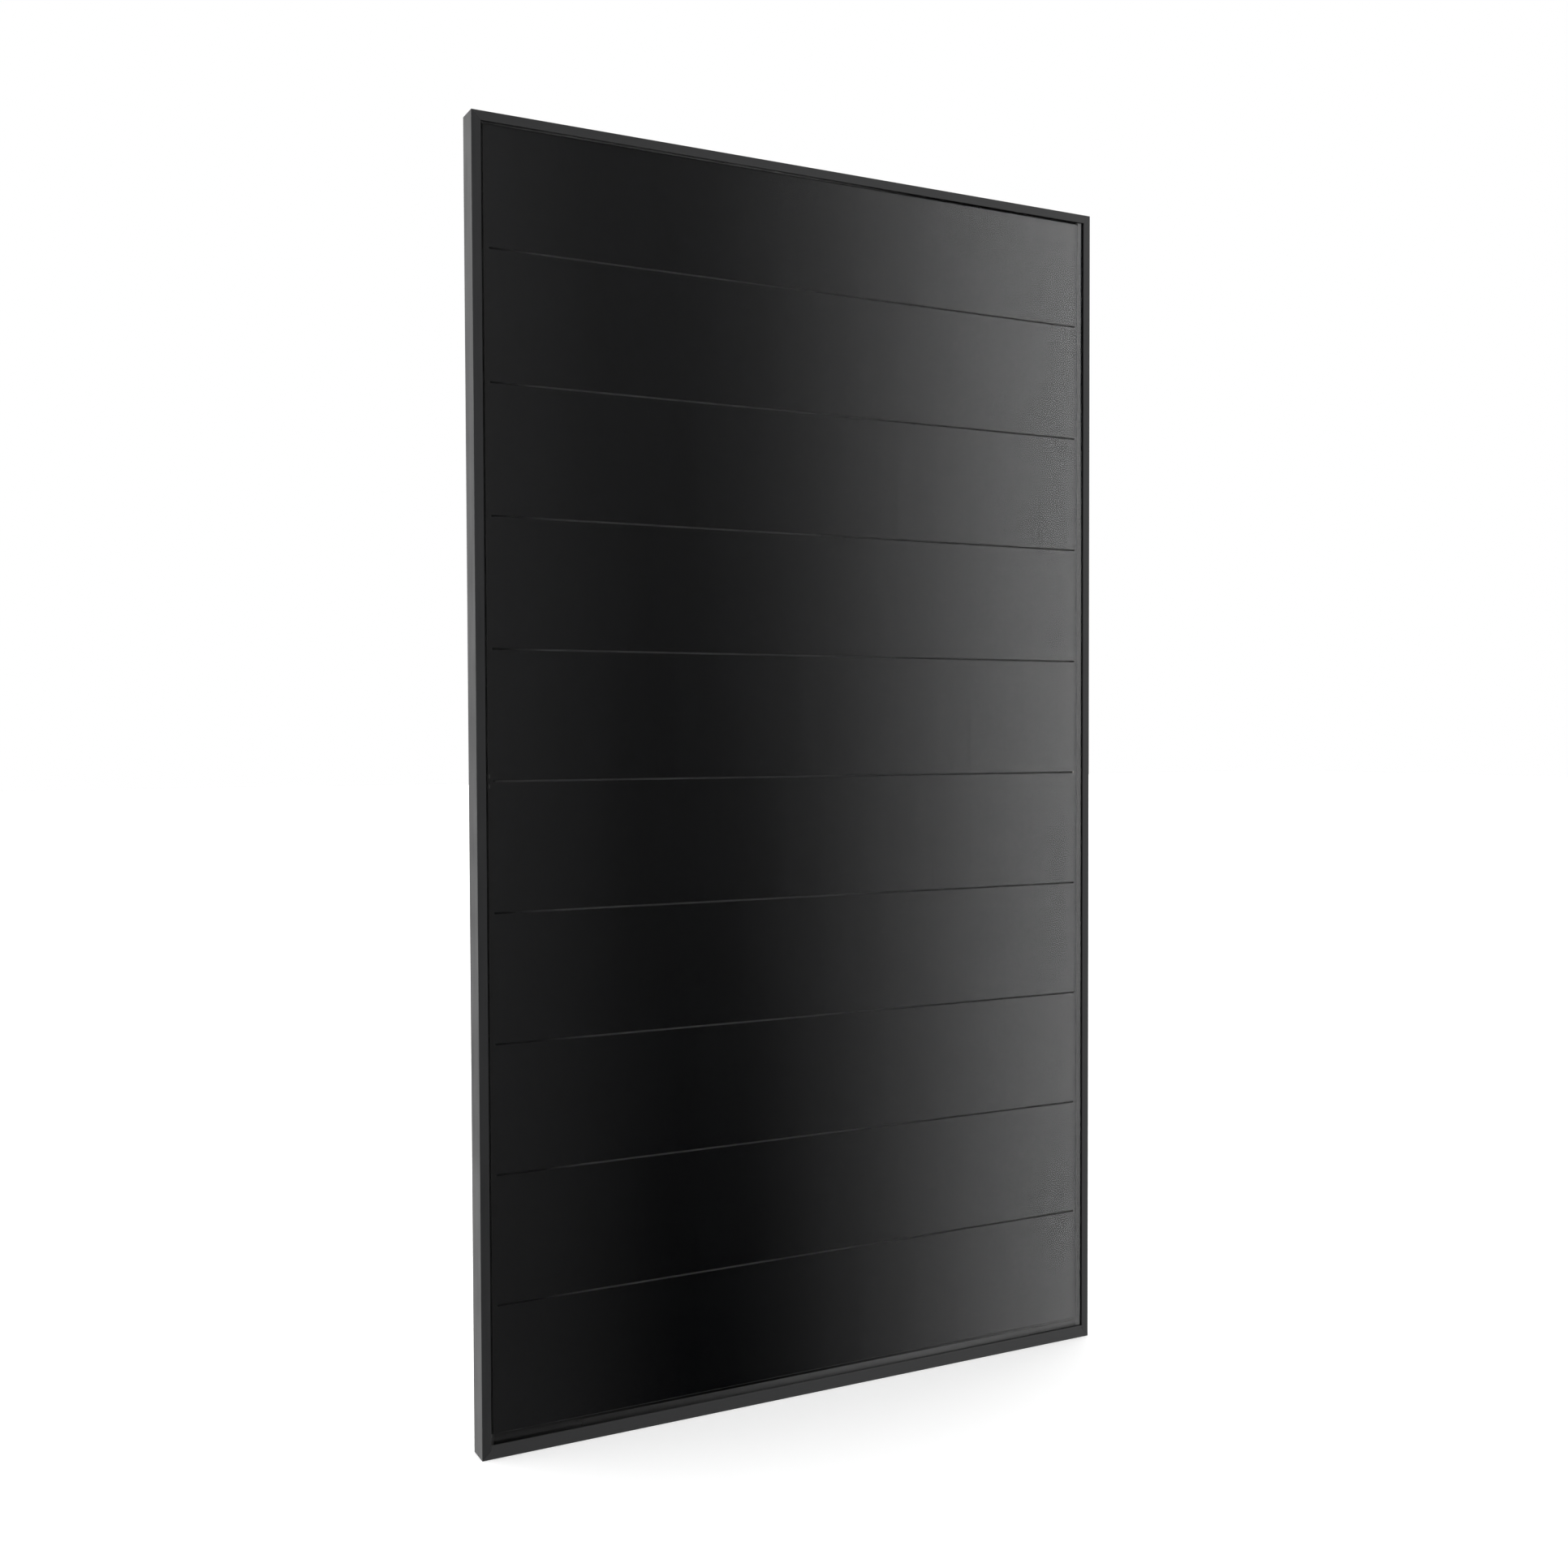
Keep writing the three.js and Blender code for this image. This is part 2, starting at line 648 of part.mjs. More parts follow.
function boxBase() {
  const whole = { front: boxFloor.front, back: boxSide.back };
  const hollow = { front: boxFloor.back, back: boxSide.back + 1 };
  const inside = roundedRectangle(
    BOX_WIDTH - 2 * BOX_WALL,
    BOX_HEIGHT - 2 * BOX_WALL,
    BOX_CORNER - BOX_WALL,
    BOX_Z,
  );
  const wallZ = BOX_Z - BOX_HEIGHT / 2;
  const glandHoles = [-GLAND_X, GLAND_X].map((x) =>
    turned(circle(x, GLAND_DEPTH, GLAND_HOLE_DIAMETER), wallZ - 1, wallZ + BOX_WALL + 1),
  );
  const block = plate(roundedRectangle(BOX_WIDTH, BOX_HEIGHT, BOX_CORNER, BOX_Z), whole);
  const tray = cut(block, [plate(inside, hollow), ...leadSlotTools(boxFloor), ...glandHoles]);
  return piece("junction_box_base", join(tray, postBlocks()), FINISHES.boxPlastic);
}

function boxLid() {
  const width = BOX_WIDTH + 2 * LID_OVERHANG;
  const height = BOX_HEIGHT + 2 * LID_OVERHANG;
  const radius = BOX_CORNER + LID_OVERHANG;
  const inset = 2 * LID_PANEL_INSET;
  const plug = { front: lidPlate.front - LID_PLUG_DEPTH, back: lidPlate.back };
  const raised = { front: lidPlate.front, back: lidPanel.back };
  const cover = join(plate(roundedRectangle(width, height, radius, BOX_Z), lidPlate), [
    insetRing(BOX_WALL + LID_PLUG_CLEARANCE, LID_PLUG_WALL, plug),
    plate(roundedRectangle(width - inset, height - inset, radius / 2, BOX_Z), raised),
  ]);
  const notchDepths = { front: lidPlate.front - 1, back: lidPlate.front + 1 };
  const notches = [-1, 1].map((side) => {
    const edge = (side * width) / 2;
    const reach = edge - side * LID_OVERHANG;
    const left = Math.min(edge + side, reach);
    const right = Math.max(edge + side, reach);
    return plate(rectangle(left, BOX_Z - PRY_NOTCH, right, BOX_Z + PRY_NOTCH), notchDepths);
  });
  return piece("junction_box_lid", cut(cover, notches), FINISHES.boxPlastic);
}

function terminalPlate({ name, slot }) {
  const x = slot * TERMINAL_PITCH;
  const half = TERMINAL_WIDTH / 2;
  const bottom = BOX_Z + TERMINAL_BOTTOM;
  const top = BOX_Z + TERMINAL_TOP;
  const tongue = slot === 0 ? 0 : TONGUE_LENGTH;
  const tongueHalf = TONGUE_WIDTH / 2;
  const points = [
    [x - half, bottom],
    [x - tongueHalf, bottom],
    [x - tongueHalf, bottom - tongue],
    [x + tongueHalf, bottom - tongue],
    [x + tongueHalf, bottom],
    [x + half, bottom],
    [x + half, top],
    [x - half, top],
  ];
  const plain = [points[0], ...points.slice(5)];
  const shape = outline(tongue ? points : plain);
  return piece(`terminal_${name}`, plate(shape, terminal), FINISHES.tinnedCopper);
}

// A bypass diode across the gap between two terminals, its legs lying on both
function bypassDiode(number) {
  const x = (number - 1.5) * TERMINAL_PITCH;
  const half = DIODE_WIDTH / 2;
  const legBack = terminal.back + DIODE_LEG_THICKNESS;
  const legEnd = (TERMINAL_PITCH - TERMINAL_WIDTH) / 2 + DIODE_LEG_REACH;
  const section = outline([
    [x - half, diodeBody.front],
    [x + half, diodeBody.front],
    [x + half, terminal.back],
    [x + legEnd, terminal.back],
    [x + legEnd, legBack],
    [x + half, legBack],
    [x + half, diodeBody.back],
    [x - half, diodeBody.back],
    [x - half, legBack],
    [x - legEnd, legBack],
    [x - legEnd, terminal.back],
    [x - half, terminal.back],
  ]);
  const bottom = BOX_Z + DIODE_Z - DIODE_HEIGHT / 2;
  return piece(`bypass_diode_${number}`, bar(section, bottom, bottom + DIODE_HEIGHT), FINISHES.epoxy);
}

function ringOutline(shape, x, bore) {
  shape.holes.push(circle(x, GLAND_DEPTH, bore));
  return shape;
}

function hexagon(x, acrossFlats) {
  const radius = acrossFlats / Math.sqrt(3);
  const corners = [0, 1, 2, 3, 4, 5].map((k) => {
    const angle = (k * Math.PI) / 3;
    return [x + radius * Math.cos(angle), GLAND_DEPTH + radius * Math.sin(angle)];
  });
  return outline(corners);
}

// A cable gland: a nut outside the box's lower wall, a neck through it, and a rubber sleeve for the cable
function cableGland(name, x) {
  const wallZ = BOX_Z - BOX_HEIGHT / 2;
  const nutEnd = wallZ - GLAND_NUT_LENGTH;
  const neckEnd = wallZ + GLAND_NECK_LENGTH;
  const nut = turned(ringOutline(hexagon(x, GLAND_HEX), x, GLAND_BORE), nutEnd, wallZ);
  const neckShape = ringOutline(circle(x, GLAND_DEPTH, GLAND_NECK_DIAMETER), x, GLAND_BORE);
  const neck = turned(neckShape, wallZ - 1, neckEnd);
  const sleeveShape = ringOutline(circle(x, GLAND_DEPTH, GLAND_SEAL_DIAMETER), x, CABLE_BORE);
  const sleeve = turned(sleeveShape, nutEnd + GLAND_SEAL_RECESS, neckEnd - GLAND_SEAL_RECESS);
  const group = new THREE.Group();
  group.add(piece(`cable_gland_${name}`, join(nut, [neck]), FINISHES.boxPlastic));
  group.add(piece(`gland_seal_${name}`, sleeve, FINISHES.blackSilicone));
  return group;
}

function junctionBox() {
  const group = new THREE.Group();
  const bead = insetRing(ADHESIVE_INSET, ADHESIVE_WIDTH, adhesive);
  const sealRing = insetRing(LID_SEAL_INSET, LID_SEAL_WIDTH, lidSeal);
  group.add(piece("junction_box_adhesive", bead, FINISHES.blackSilicone));
  group.add(boxBase());
  LEADS.forEach((entry) => group.add(terminalPlate(entry)));
  group.add(bypassDiode(1));
  group.add(bypassDiode(2));
  group.add(cableGland("positive", -GLAND_X));
  group.add(cableGland("negative", GLAND_X));
  group.add(piece("junction_box_lid_seal", sealRing, FINISHES.blackSilicone));
  group.add(boxLid());
  return group;
}

const solarPanel = new THREE.Group();
solarPanel.add(frame());
solarPanel.add(laminate());
solarPanel.add(ratingLabel());
solarPanel.add(junctionBox());

export default solarPanel;
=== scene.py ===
"""Looks of the framed, all-black solar panel: materials, the glass, the floor, the light and the camera.

Everything is in metres, in the frame of the CAD part: +Z is up and -Y is the sunny side.
"""

import math

import bmesh
import bpy
from mathutils import Matrix, Vector


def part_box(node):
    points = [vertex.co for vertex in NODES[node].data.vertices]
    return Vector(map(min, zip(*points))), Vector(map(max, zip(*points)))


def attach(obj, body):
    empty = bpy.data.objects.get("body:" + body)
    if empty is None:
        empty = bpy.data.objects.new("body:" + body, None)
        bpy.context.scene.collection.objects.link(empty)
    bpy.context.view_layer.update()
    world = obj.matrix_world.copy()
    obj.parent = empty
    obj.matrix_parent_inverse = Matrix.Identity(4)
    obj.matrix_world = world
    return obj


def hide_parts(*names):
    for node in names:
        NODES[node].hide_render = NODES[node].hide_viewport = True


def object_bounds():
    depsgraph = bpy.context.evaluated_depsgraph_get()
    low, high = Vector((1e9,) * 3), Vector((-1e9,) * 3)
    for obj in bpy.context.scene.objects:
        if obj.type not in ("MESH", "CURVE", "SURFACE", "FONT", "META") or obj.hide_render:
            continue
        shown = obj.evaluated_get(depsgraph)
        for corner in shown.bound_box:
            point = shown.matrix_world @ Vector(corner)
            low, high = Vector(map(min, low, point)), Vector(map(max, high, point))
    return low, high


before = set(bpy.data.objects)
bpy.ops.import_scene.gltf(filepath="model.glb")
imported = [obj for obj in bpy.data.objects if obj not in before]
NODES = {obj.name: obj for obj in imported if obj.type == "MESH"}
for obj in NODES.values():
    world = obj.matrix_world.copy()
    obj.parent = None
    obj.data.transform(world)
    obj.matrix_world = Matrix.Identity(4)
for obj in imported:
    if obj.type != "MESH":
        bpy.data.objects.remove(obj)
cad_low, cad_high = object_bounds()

MM = 0.001

# Camera: where it stands, where it looks (in radians), and its lens
CAMERA_PLACE = (-1.1315, -2.0978, 0.9318)
CAMERA_HEADING = 0.4816
CAMERA_PITCH = -0.0284
CAMERA_ROLL = -0.0032
CAMERA_LENS = 38.71
SENSOR_WIDTH = 36.0
CAMERA_NEAR = 0.05
CAMERA_FAR = 200

# Floor, a hair below the panel so that the two never share a plane
FLOOR_REACH = 30
FLOOR_CELLS = 8
FLOOR_DROP = 0.2 * MM

# Light: brightness of the room by compass angle, where 0 is in front of the glass (-Y) and 90 is +X
WORLD_STRENGTH = 2.5
WHITE = (1.0, 1.0, 1.0, 1.0)
ROOM_BY_ANGLE = [
    (-180, 1.0), (-170, 2.2), (-160, 2.0), (-150, 1.2), (-140, 0.4), (-125, 0.4), (-100, 0.5),
    (-60, 0.35), (-25, 0.22), (0, 0.16), (14, 0.125), (18, 0.10), (20.5, 0.065), (22.5, 0.02),
    (24.2, 0.0), (26, 0.0), (28, 0.05), (31, 0.22), (34, 0.56), (38, 1.36), (43, 2.1), (60, 2.2),
    (85, 1.5), (110, 0.5), (138, 0.15), (150, 0.6), (160, 1.7), (170, 1.5), (180, 1.0),
]
# How far that pattern turns with height, and how much brighter it grows from below to above eye level
ROOM_DRIFT = 0.05
ROOM_HAZE = 0.10
ROOM_HAZE_REACH = math.radians(20)
# Higher and lower in the room the light is even. In front it is dim straight above and below
ROOM_HIGH = 1.6
ROOM_HIGH_FADE = (math.radians(24), math.radians(42))
ROOM_TOP = 0.15
ROOM_TOP_FADE = (math.radians(55), math.radians(75))
ROOM_REAR_HIGH = 2.4
ROOM_REAR_LOW = 0.2
ROOM_FRONT_FADE = (-0.1, 0.1)

# Front glass: its clipped corners and the ground arris round both faces
GLASS_CORNER = 2 * MM
GLASS_ARRIS = 0.4 * MM

# Painted sheen on a border round the glass: where it starts and ends, how strongly it mirrors and how blurred
BORDER_RIGHT = 463.2 * MM
BORDER_RIGHT_END = 469.5 * MM
BORDER_RIGHT_END_FADE = (1.2, 1.45)
BORDER_BOTTOM = 28 * MM
BORDER_BOTTOM_RISE = (-0.45, -0.05, 0.1, 1.0)
BORDER_BOTTOM_FALL = (0.2, 0.46, 1.0, 0.5)
BORDER_TOP = 1707.2 * MM
BORDER_TOP_FADE = (-0.05, 0.2, 1.0, 0.0)
BORDER_SHARE = 0.09
BORDER_BLUR = 0.09

# Shingled strings: the pitch of the strips and of the fingers printed on them
STRIP_PITCH = 31.75 * MM
STRIPS_IN_KEY = 37.0
FINGER_PITCH = 1.5 * MM
FINGER_WIDTH = 0.06
STRING_MARGIN = 1 * MM

# Sheet under the strings: where it is matt, and where painted shade and painted light lie on it. Between the
# strings it has painted shade up to a line near their left ends, and painted light from there on
SHEET_MATT_BOTTOM = 26.5 * MM
SHEET_MATT_RIGHT = 466.2 * MM
SHEET_LEFT_REACH = 7 * MM
SHEET_BELOW_GAP = 0.5 * MM
SHEET_LIT_LINE = (0.55, 0.75, -0.40, -0.455)
SHEET_LIT_FADE = (0.0, 0.07, 0.05, 1.0)
# Painted shade above the strings, on the right
SHEET_SHADE_FADE = (-0.05, 0.15)
# Painted light below the strings, strongest in the middle
SHEET_PAINTED_LIGHT_RISE = (-0.6, 0.1)
SHEET_PAINTED_LIGHT_FALL = (0.2, 0.46, 1.0, 0.1)
SHEET_PAINTED_LIGHT_SHARE = 0.6

# Backsheet: how far the film takes to fall beside a string and beside a ribbon or the insulating strip,
# and how high those two stand next to a string
FILM_FALL_STRING = 1.2 * MM
FILM_FALL_RIBBON = 2 * MM
FILM_RISE_STRIP = 0.5
FILM_RISE_RIBBON = 0.9

# Rating label: its border's inset, the width of its rules, its rows and its one column
LABEL_INSET = 3 * MM
LABEL_RULE = 0.35 * MM
LABEL_ROW = 4 * MM
LABEL_COLUMN = 62 * MM

DIODE_BAND = 2.2 * MM

# Rounded edges of the CAD's own pieces
SOFT_SEGMENTS = 2
SOFT_ANGLE = math.radians(30)
FLAT_ANGLE = math.radians(0.2)
WELD_REACH = 0.01 * MM
SOFT_RAIL = 0.2 * MM
SOFT_BOX = 0.5 * MM

# Junction box lid, as in the CAD: its plug, its raised panel and its corner
LID_PLUG = 3.5 * MM
LID_STEP = 0.75 * MM
LID_RIB = 0.35 * MM
LID_PLUG_OUTER = 3.5 * MM
LID_PLUG_INNER = 5 * MM
LID_CORNER = 7 * MM
LID_SHARPEST = 1 * MM
LID_SOFT = 0.3 * MM
CORNER_STEPS = 8
# Grip hollows in the middle of its left and right sides
GRIP_HALF = 8 * MM
GRIP_RAMP = 0.5 * MM
GRIP_DEPTH = 1 * MM
# Ribs on its raised panel: a frame round the middle, and columns of short ribs beside it
RIB_SOFT = 0.12 * MM
RIB_SUNK = 0.3 * MM
RIB_STEPS = 6
RIB_FRAME_SIDE = 26 * MM
RIB_FRAME_END = 17 * MM
RIB_FRAME_WIDTH = 1.4 * MM
RIB_FRAME_CORNER = 3 * MM
SHORT_RIB_SIDE = 17.5 * MM
SHORT_RIB_PITCH = 7 * MM
SHORT_RIB_LENGTH = 12 * MM
SHORT_RIB_WIDTH = 1.6 * MM
SHORT_RIB_ROWS = range(-4, 5)

# Cable gland: its bore and neck, how far its nut's corners reach past the flats, and its fluted cap
GLAND_STEPS = 48
GLAND_BORE = 5 * MM
GLAND_NECK = 6 * MM
GLAND_CORNER = 1.13
GLAND_FLUTE = 0.35 * MM
GLAND_FLUTE_EVERY = 4
# Its outside, from the box's wall down: mm down, mm in from the flats, share of a hexagon, depth of flutes
GLAND_PROFILE = [
    (0, 0.4, 0.7, 0), (0.4, 0, 1, 0), (3.6, 0, 1, 0), (4.2, 0.3, 0, 0),
    (4.6, 0.4, 0, GLAND_FLUTE), (8.4, 0.9, 0, GLAND_FLUTE), (9.2, 1.2, 0, 0), (9.8, 1.7, 0, 0),
]

# Most of a noise's values lie between these two
NOISE_LOW = 0.3
NOISE_HIGH = 0.7

# Index of refraction of each kind of surface. A cell's is high, for silicon with encapsulant on it
IOR_COATING = 1.15
IOR_MATT = 1.22
IOR_SILICONE = 1.41
# The upright rails' lower index is painted shade: the same anodised finish as the level rails, made to mirror
# a little less
IOR_UPRIGHT_SHADED = 1.46
IOR_COMMON = 1.5
IOR_EPOXY = 1.55
IOR_CELL = 1.92


def grey(value):
    return (value, value, value, 1.0)


def nodes_named(*starts):
    """Names of the CAD nodes that begin with any of these."""
    return sorted(name for name in NODES if name.startswith(starts))


# ---------------------------------------------------------------- node helpers


class Tree:
    """A node tree with short calls for adding nodes that are already wired up."""

    def __init__(self, tree):
        self.tree = tree
        self.tree.nodes.clear()

    def add(self, kind, values=None, **settings):
        node = self.tree.nodes.new(kind)
        for name, value in settings.items():
            setattr(node, name, value)
        for name, value in (values or {}).items():
            self.put(node.inputs[name], value)
        return node

    def put(self, socket, value):
        if isinstance(value, bpy.types.NodeSocket):
            self.tree.links.new(value, socket)
        else:
            socket.default_value = value

    def math(self, operation, a, b=0.0, c=0.0, clamp=False):
        values = {0: a, 1: b, 2: c}
        return self.add("ShaderNodeMath", values, operation=operation, use_clamp=clamp).outputs[0]

    def plus(self, a, b):
        return self.math("ADD", a, b)

    def minus(self, a, b, clamp=False):
        return self.math("SUBTRACT", a, b, clamp=clamp)

    def times(self, a, b):
        return self.math("MULTIPLY", a, b)

    def most(self, *values):
        """The largest of two or more values."""
        result = values[0]
        for value in values[1:]:
            result = self.math("MAXIMUM", result, value)
        return result

    def above(self, value, limit):
        """1 where a value is above a limit, else 0."""
        return self.math("GREATER_THAN", value, limit)

    def below(self, value, limit):
        """1 where a value is below a limit, else 0."""
        return self.math("LESS_THAN", value, limit)

    def away(self, value, middle):
        """How far a value is from a middle, to either side."""
        return self.math("ABSOLUTE", self.minus(value, middle))

    def spread(self, value, low, high, to_low=0.0, to_high=1.0, kind="LINEAR"):
        values = {"Value": value, "From Min": low, "From Max": high, "To Min": to_low, "To Max": to_high}
        return self.add("ShaderNodeMapRange", values, interpolation_type=kind).outputs["Result"]

    def vary(self, noise, to_low, to_high):
        """A noise stretched to run between two values."""
        return self.spread(noise, NOISE_LOW, NOISE_HIGH, to_low, to_high)

    def mix(self, factor, a, b):
        node = self.add("ShaderNodeMix", data_type="RGBA")
        self.put(node.inputs["Factor"], factor)
        self.put(node.inputs[6], a)
        self.put(node.inputs[7], b)
        return node.outputs[2]

    def noise(self, scale, detail, roughness, stretch=(1, 1, 1)):
        """Cloudy noise, with scale features to a metre, drawn out along an axis whose stretch is below 1."""
        where = self.add("ShaderNodeTexCoord").outputs["Object"]
        moved = self.add("ShaderNodeMapping", {"Vector": where, "Scale": stretch})
        values = {"Vector": moved.outputs[0], "Scale": scale, "Detail": detail, "Roughness": roughness}
        return self.add("ShaderNodeTexNoise", values).outputs["Fac"]

    def place(self):
        """X, Y and Z of the shaded point."""
        where = self.add("ShaderNodeTexCoord").outputs["Object"]
        return self.add("ShaderNodeSeparateXYZ", {0: where}).outputs

    def bump(self, height, strength, distance, normal=None):
        values = {"Height": height, "Strength": strength, "Distance": distance}
        node = self.add("ShaderNodeBump", values)
        if normal is not None:
            self.put(node.inputs["Normal"], normal)
        return node.outputs[0]

    def edge(self, radius, low, high):
        """1 on sharp outer and inner edges, 0 on flats."""
        soft = self.add("ShaderNodeBevel", {"Radius": radius}, samples=4).outputs[0]
        flat = self.add("ShaderNodeNewGeometry").outputs["Normal"]
        dot = self.add("ShaderNodeVectorMath", {0: soft, 1: flat}, operation="DOT_PRODUCT").outputs["Value"]
        return self.spread(dot, high, low)


def new_material(name):
    material = bpy.data.materials.new(name)
    material.use_nodes = True
    return material, Tree(material.node_tree)


def finish_material(tree, shader):
    tree.add("ShaderNodeOutputMaterial", {"Surface": shader})


def principled(tree, **inputs):
    values = {name.replace("_", " "): value for name, value in inputs.items()}
    return tree.add("ShaderNodeBsdfPrincipled", values).outputs[0]


# ---------------------------------------------------------------- materials


def anodised(name, grain, roughness, drawn, ior):
    """Black anodised extrusion with fine die lines along its length and a hint of wear on its edges."""
    material, t = new_material(name)
    stretch = tuple(0.01 if axis else 1.0 for axis in grain)
    lines = t.noise(900, 3, 0.6, stretch)
    cloud = t.noise(9, 3, 0.55)
    grit = t.noise(5200, 1, 0.5)
    worn = t.edge(0.5 * MM, 0.90, 0.995)
    darker, lighter = (0.0056, 0.0058, 0.0064, 1), (0.0134, 0.0137, 0.0146, 1)
    tone = t.mix(t.math("MULTIPLY_ADD", lines, 0.6, t.times(cloud, 0.4)), darker, lighter)
    tone = t.mix(t.times(worn, 0.35), tone, grey(0.045))
    rough = t.plus(t.vary(lines, roughness - 0.05, roughness + 0.05), t.vary(cloud, -0.02, 0.02))
    normal = t.bump(grit, 0.15, 0.06 * MM, t.bump(lines, 0.22, 0.1 * MM))
    along = t.add("ShaderNodeCombineXYZ", {axis: float(share) for axis, share in enumerate(grain)})
    shader = principled(t, Base_Color=tone, Roughness=rough, Normal=normal, IOR=ior,
                        Anisotropic=drawn, Anisotropic_Rotation=0.25, Tangent=along.outputs[0])
    finish_material(t, shader)
    return material


def clear_layer(name, tint):
    """A layer that light goes straight through, a little dimmed."""
    material, t = new_material(name)
    finish_material(t, t.add("ShaderNodeBsdfTransparent", {"Color": tint}).outputs[0])
    return material


def lower_border_sheen(t, x):
    """How strong the painted sheen on the border under the strings is: faint on the left and strongest in the
    middle.
    """
    return t.times(t.spread(x, *BORDER_BOTTOM_RISE), t.spread(x, *BORDER_BOTTOM_FALL))


def glass_front():
    """Front face of the glass: a thin anti-reflective coating over faintly textured glass.

    A painted sheen lies on a border at the bottom, on the right and above. The glass mirrors more there, more
    blurred, and most strongly where the light falls.
    """
    material, t = new_material("solar_glass_front")
    x, _, z = t.place()
    pebble = t.noise(900, 2, 0.5)
    smear = t.noise(6, 4, 0.6)
    normal = t.bump(pebble, 0.05, 0.02 * MM)
    # Painted sheen: a border where the glass mirrors more, shaped along x and z by where the light falls
    bottom = t.times(t.below(z, BORDER_BOTTOM), lower_border_sheen(t, x))
    sheen_fades_up = t.times(t.above(x, BORDER_RIGHT_END), t.spread(z, *BORDER_RIGHT_END_FADE))
    right = t.minus(t.above(x, BORDER_RIGHT), sheen_fades_up)
    top = t.times(t.above(z, BORDER_TOP), t.spread(x, *BORDER_TOP_FADE))
    border = t.most(bottom, right, top)
    rough = t.plus(t.vary(smear, 0.09, 0.14), t.times(border, BORDER_BLUR))
    mirror = t.add("ShaderNodeBsdfGlossy", {"Color": WHITE, "Roughness": rough, "Normal": normal})
    clear = t.add("ShaderNodeBsdfTransparent", {"Color": grey(0.98)})
    coated = t.add("ShaderNodeFresnel", {"IOR": IOR_COATING, "Normal": normal}).outputs[0]
    share = t.math("MULTIPLY_ADD", border, BORDER_SHARE, coated)
    both = t.add("ShaderNodeMixShader", {0: share, 1: clear.outputs[0], 2: mirror.outputs[0]})
    finish_material(t, both.outputs[0])
    return material


def silicon():
    """Shingled monocrystalline strips: blue-black, with fine printed fingers across them."""
    material, t = new_material("silicon_strips")
    x, _, z = t.place()
    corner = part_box("cell_string_02")[0]
    pitch = corner.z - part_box("cell_string_03")[0].z
    strip = t.math("FLOOR", t.math("DIVIDE", t.minus(x, corner.x), STRIP_PITCH))
    row = t.math("FLOOR", t.math("DIVIDE", t.minus(z, corner.z - STRING_MARGIN), pitch))
    key = t.math("MULTIPLY_ADD", row, STRIPS_IN_KEY, strip)
    shade = t.add("ShaderNodeTexWhiteNoise", {"W": key}, noise_dimensions="1D").outputs["Value"]
    wave = t.math("PINGPONG", t.math("DIVIDE", z, FINGER_PITCH), 0.5)
    finger = t.spread(wave, 0.0, FINGER_WIDTH, 1.0, 0.0)
    haze = t.noise(14, 3, 0.6)
    darker, lighter = (0.0008, 0.0009, 0.0014, 1), (0.0014, 0.0016, 0.0023, 1)
    tone = t.mix(t.math("MULTIPLY_ADD", shade, 0.5, t.times(haze, 0.5)), darker, lighter)
    tone = t.mix(t.times(finger, 0.10), tone, (0.02, 0.0205, 0.0215, 1))
    rough = t.plus(t.spread(shade, 0, 1, 0.095, 0.110), t.times(finger, 0.06))
    normal = t.bump(t.noise(1600, 2, 0.5), 0.04, 0.02 * MM)
    finish_material(t, principled(t, Base_Color=tone, Roughness=rough, Normal=normal, IOR=IOR_CELL))
    return material


def matt_black(name, base, roughness, ior, grain_scale, depth):
    """Black film, coat or rubber with a fine grain and a cloudy tone."""
    material, t = new_material(name)
    grain = t.noise(grain_scale, 2, 0.6)
    cloud = t.noise(11, 3, 0.6)
    tone = t.mix(cloud, grey(base * 0.75), grey(base * 1.25))
    rough = t.vary(cloud, roughness - 0.04, roughness + 0.04)
    normal = t.bump(grain, 0.25, depth)
    finish_material(t, principled(t, Base_Color=tone, Roughness=rough, Normal=normal, IOR=ior))
    return material


